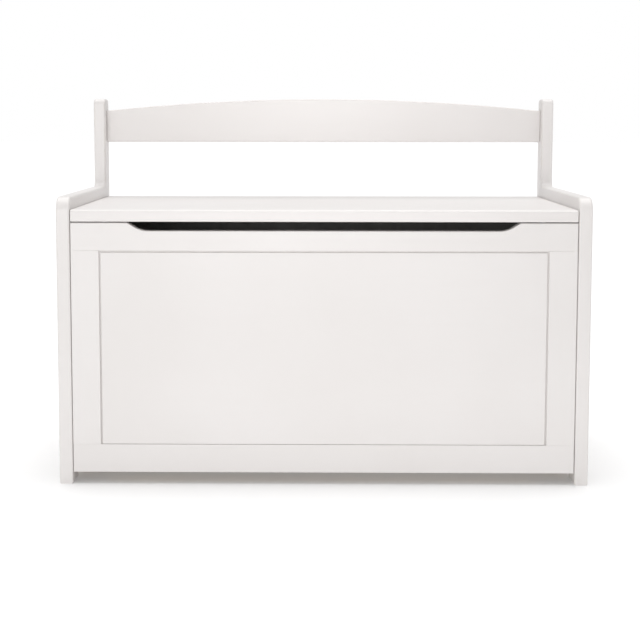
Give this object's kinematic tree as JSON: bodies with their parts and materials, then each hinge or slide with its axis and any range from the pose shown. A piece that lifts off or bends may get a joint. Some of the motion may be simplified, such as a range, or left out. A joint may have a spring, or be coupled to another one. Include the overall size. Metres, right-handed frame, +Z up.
{
  "type": "wooden toy box",
  "caption": "White wooden toy box and bench: low arms, arched backrest rail, framed front and a hinged lid that is the seat and stays where it is put.",
  "frame": {"origin": "centre of the footprint, on the floor", "axes": "+X to the box's right as seen from the front, +Y towards the back, +Z up"},
  "size_m": [0.845, 0.451, 0.62],
  "materials": {
    "white_paint": "satin white paint over smooth wood",
    "white_board": "thin white lacquer over hardboard",
    "pine": "bare planed pine",
    "beech": "bare beech",
    "nickel_steel": "satin nickel plate",
    "zinc_steel": "bright zinc plate",
    "black_nylon": "matt black nylon",
    "clear_rubber": "soft clear rubber"
  },
  "bodies": {
    "box": {"left_side_board": "white_paint", "right_side_board": "white_paint", "front_top_rail": "white_paint", "front_bottom_rail": "white_paint", "front_left_stile": "white_paint", "front_right_stile": "white_paint", "front_centre_panel": "white_paint", "back_board": "white_paint", "floor_board": "white_board", "front_floor_batten": "pine", "rear_floor_batten": "pine", "left_floor_batten": "pine", "right_floor_batten": "pine", "backrest_rail": "white_paint", "lid_rest_pads": "clear_rubber", "left_hinge_base": "nickel_steel", "right_hinge_base": "nickel_steel", "hinge_friction_sleeves": "black_nylon", "centre_hinge_base": "nickel_steel", "centre_hinge_pin": "zinc_steel", "hinge_base_screws": "zinc_steel", "left_connector_bolts": "zinc_steel", "right_connector_bolts": "zinc_steel", "barrel_nuts": "zinc_steel", "frame_dowels": "beech", "side_dowels": "beech", "batten_screws": "zinc_steel"},
    "lid": {"lid_board": "white_paint", "left_hinge_arm": "nickel_steel", "right_hinge_arm": "nickel_steel", "hinge_shafts": "zinc_steel", "centre_hinge_leaf": "nickel_steel", "hinge_lid_screws": "zinc_steel"}
  },
  "joints": [
    {"name": "lid_hinge", "type": "hinge", "parent": "box", "child": "lid", "pos_m": [0, 0.218, 0.4203], "axis": [-1, 0, 0], "range_deg": [0, 70.5]}
  ]
}
